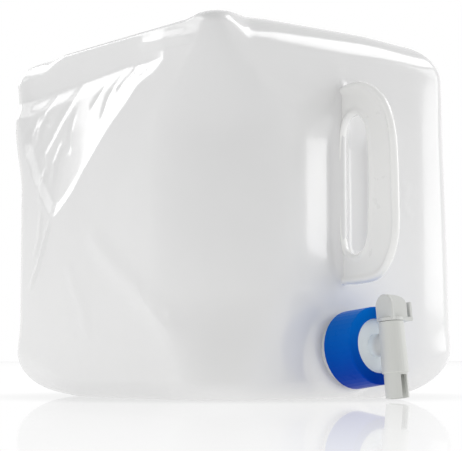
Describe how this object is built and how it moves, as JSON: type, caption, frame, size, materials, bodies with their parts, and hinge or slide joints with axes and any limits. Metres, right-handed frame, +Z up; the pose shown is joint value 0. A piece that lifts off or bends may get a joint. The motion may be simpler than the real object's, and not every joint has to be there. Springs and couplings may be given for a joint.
{
  "type": "collapsible water carrier",
  "caption": "Collapsible cube of clear film for water, with a D handle, a leaning threaded neck, a screw ring and a turning tap; it flattens towards the handle side.",
  "frame": {"origin": "centre of the bag's flat base, on the ground that it stands on", "axes": "+Z up; -Y towards the face with the handle, the neck and the tap; +X to the right when that face is looked at"},
  "size_m": [0.2769, 0.3743, 0.309],
  "materials": {
    "film": "glossy milky film",
    "film_thick": "satin, milky",
    "blue_plastic": "satin",
    "white_plastic": "satin white",
    "gasket_rubber": "matte"
  },
  "bodies": {
    "bag": {"bag_front_panel": "film", "bag_side_walls": "film", "bag_neck": "film_thick", "carry_handle": "film_thick"},
    "bag_rear": {"bag_rear_panel": "film"},
    "tap": {"tap_body": "white_plastic", "neck_gasket": "gasket_rubber"},
    "screw_ring": {"cap_ring": "blue_plastic"},
    "stem": {"tap_stem": "white_plastic"}
  },
  "joints": [
    {"name": "collapse", "type": "slide", "parent": "bag", "child": "bag_rear", "axis": [0, -1, 0], "range_m": [0, 0.244], "deforming": ["bag_side_walls"]},
    {"name": "tap_withdraw", "type": "slide", "parent": "bag", "child": "tap", "axis": [0, -0.9936, 0.1132], "range_m": [0, 0.0301]},
    {"name": "ring_unscrew", "type": "hinge", "parent": "tap", "child": "screw_ring", "pos_m": [0, -0.16241, 0.04002], "axis": [0, -0.9936, 0.1132], "range_deg": [0, 1800]},
    {"name": "stem_turn", "type": "hinge", "parent": "tap", "child": "stem", "pos_m": [0, -0.20861, 0.04528], "axis": [0, -0.1132, -0.9936], "range_deg": [0, 90]}
  ],
  "couplings": [
    {"joint": "tap_withdraw", "follows": "ring_unscrew", "m_per_rad": 0.00095493}
  ]
}
